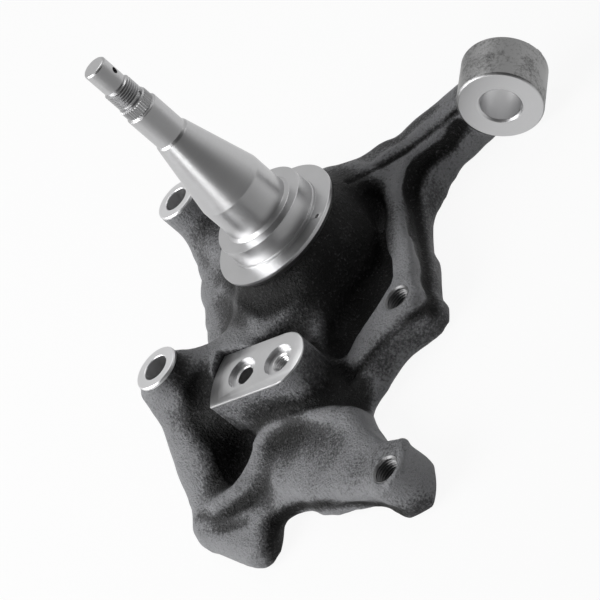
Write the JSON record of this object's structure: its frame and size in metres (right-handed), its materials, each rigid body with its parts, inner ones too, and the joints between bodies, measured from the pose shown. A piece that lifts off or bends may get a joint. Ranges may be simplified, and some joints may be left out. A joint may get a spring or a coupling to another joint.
{
  "type": "steering knuckle",
  "caption": "One-piece iron steering knuckle: stepped wheel spindle, drilled brake lugs, tapped bosses, anchor pad and an arm with a bored eye.",
  "frame": {"origin": "on the spindle axis, in the plane of the flange face", "axes": "+Z along the spindle towards the wheel, +X towards the steering eye, +Y towards the upper brake lug"},
  "size_m": [0.2758, 0.3045, 0.225],
  "materials": {
    "painted_casting": "semi-gloss black paint over a sand-cast skin",
    "machined_metal": "turned and ground bare metal on the spindle, lugs, pad and eye"
  },
  "bodies": {
    "root": {"steering_knuckle": "painted_casting"}
  },
  "joints": []
}
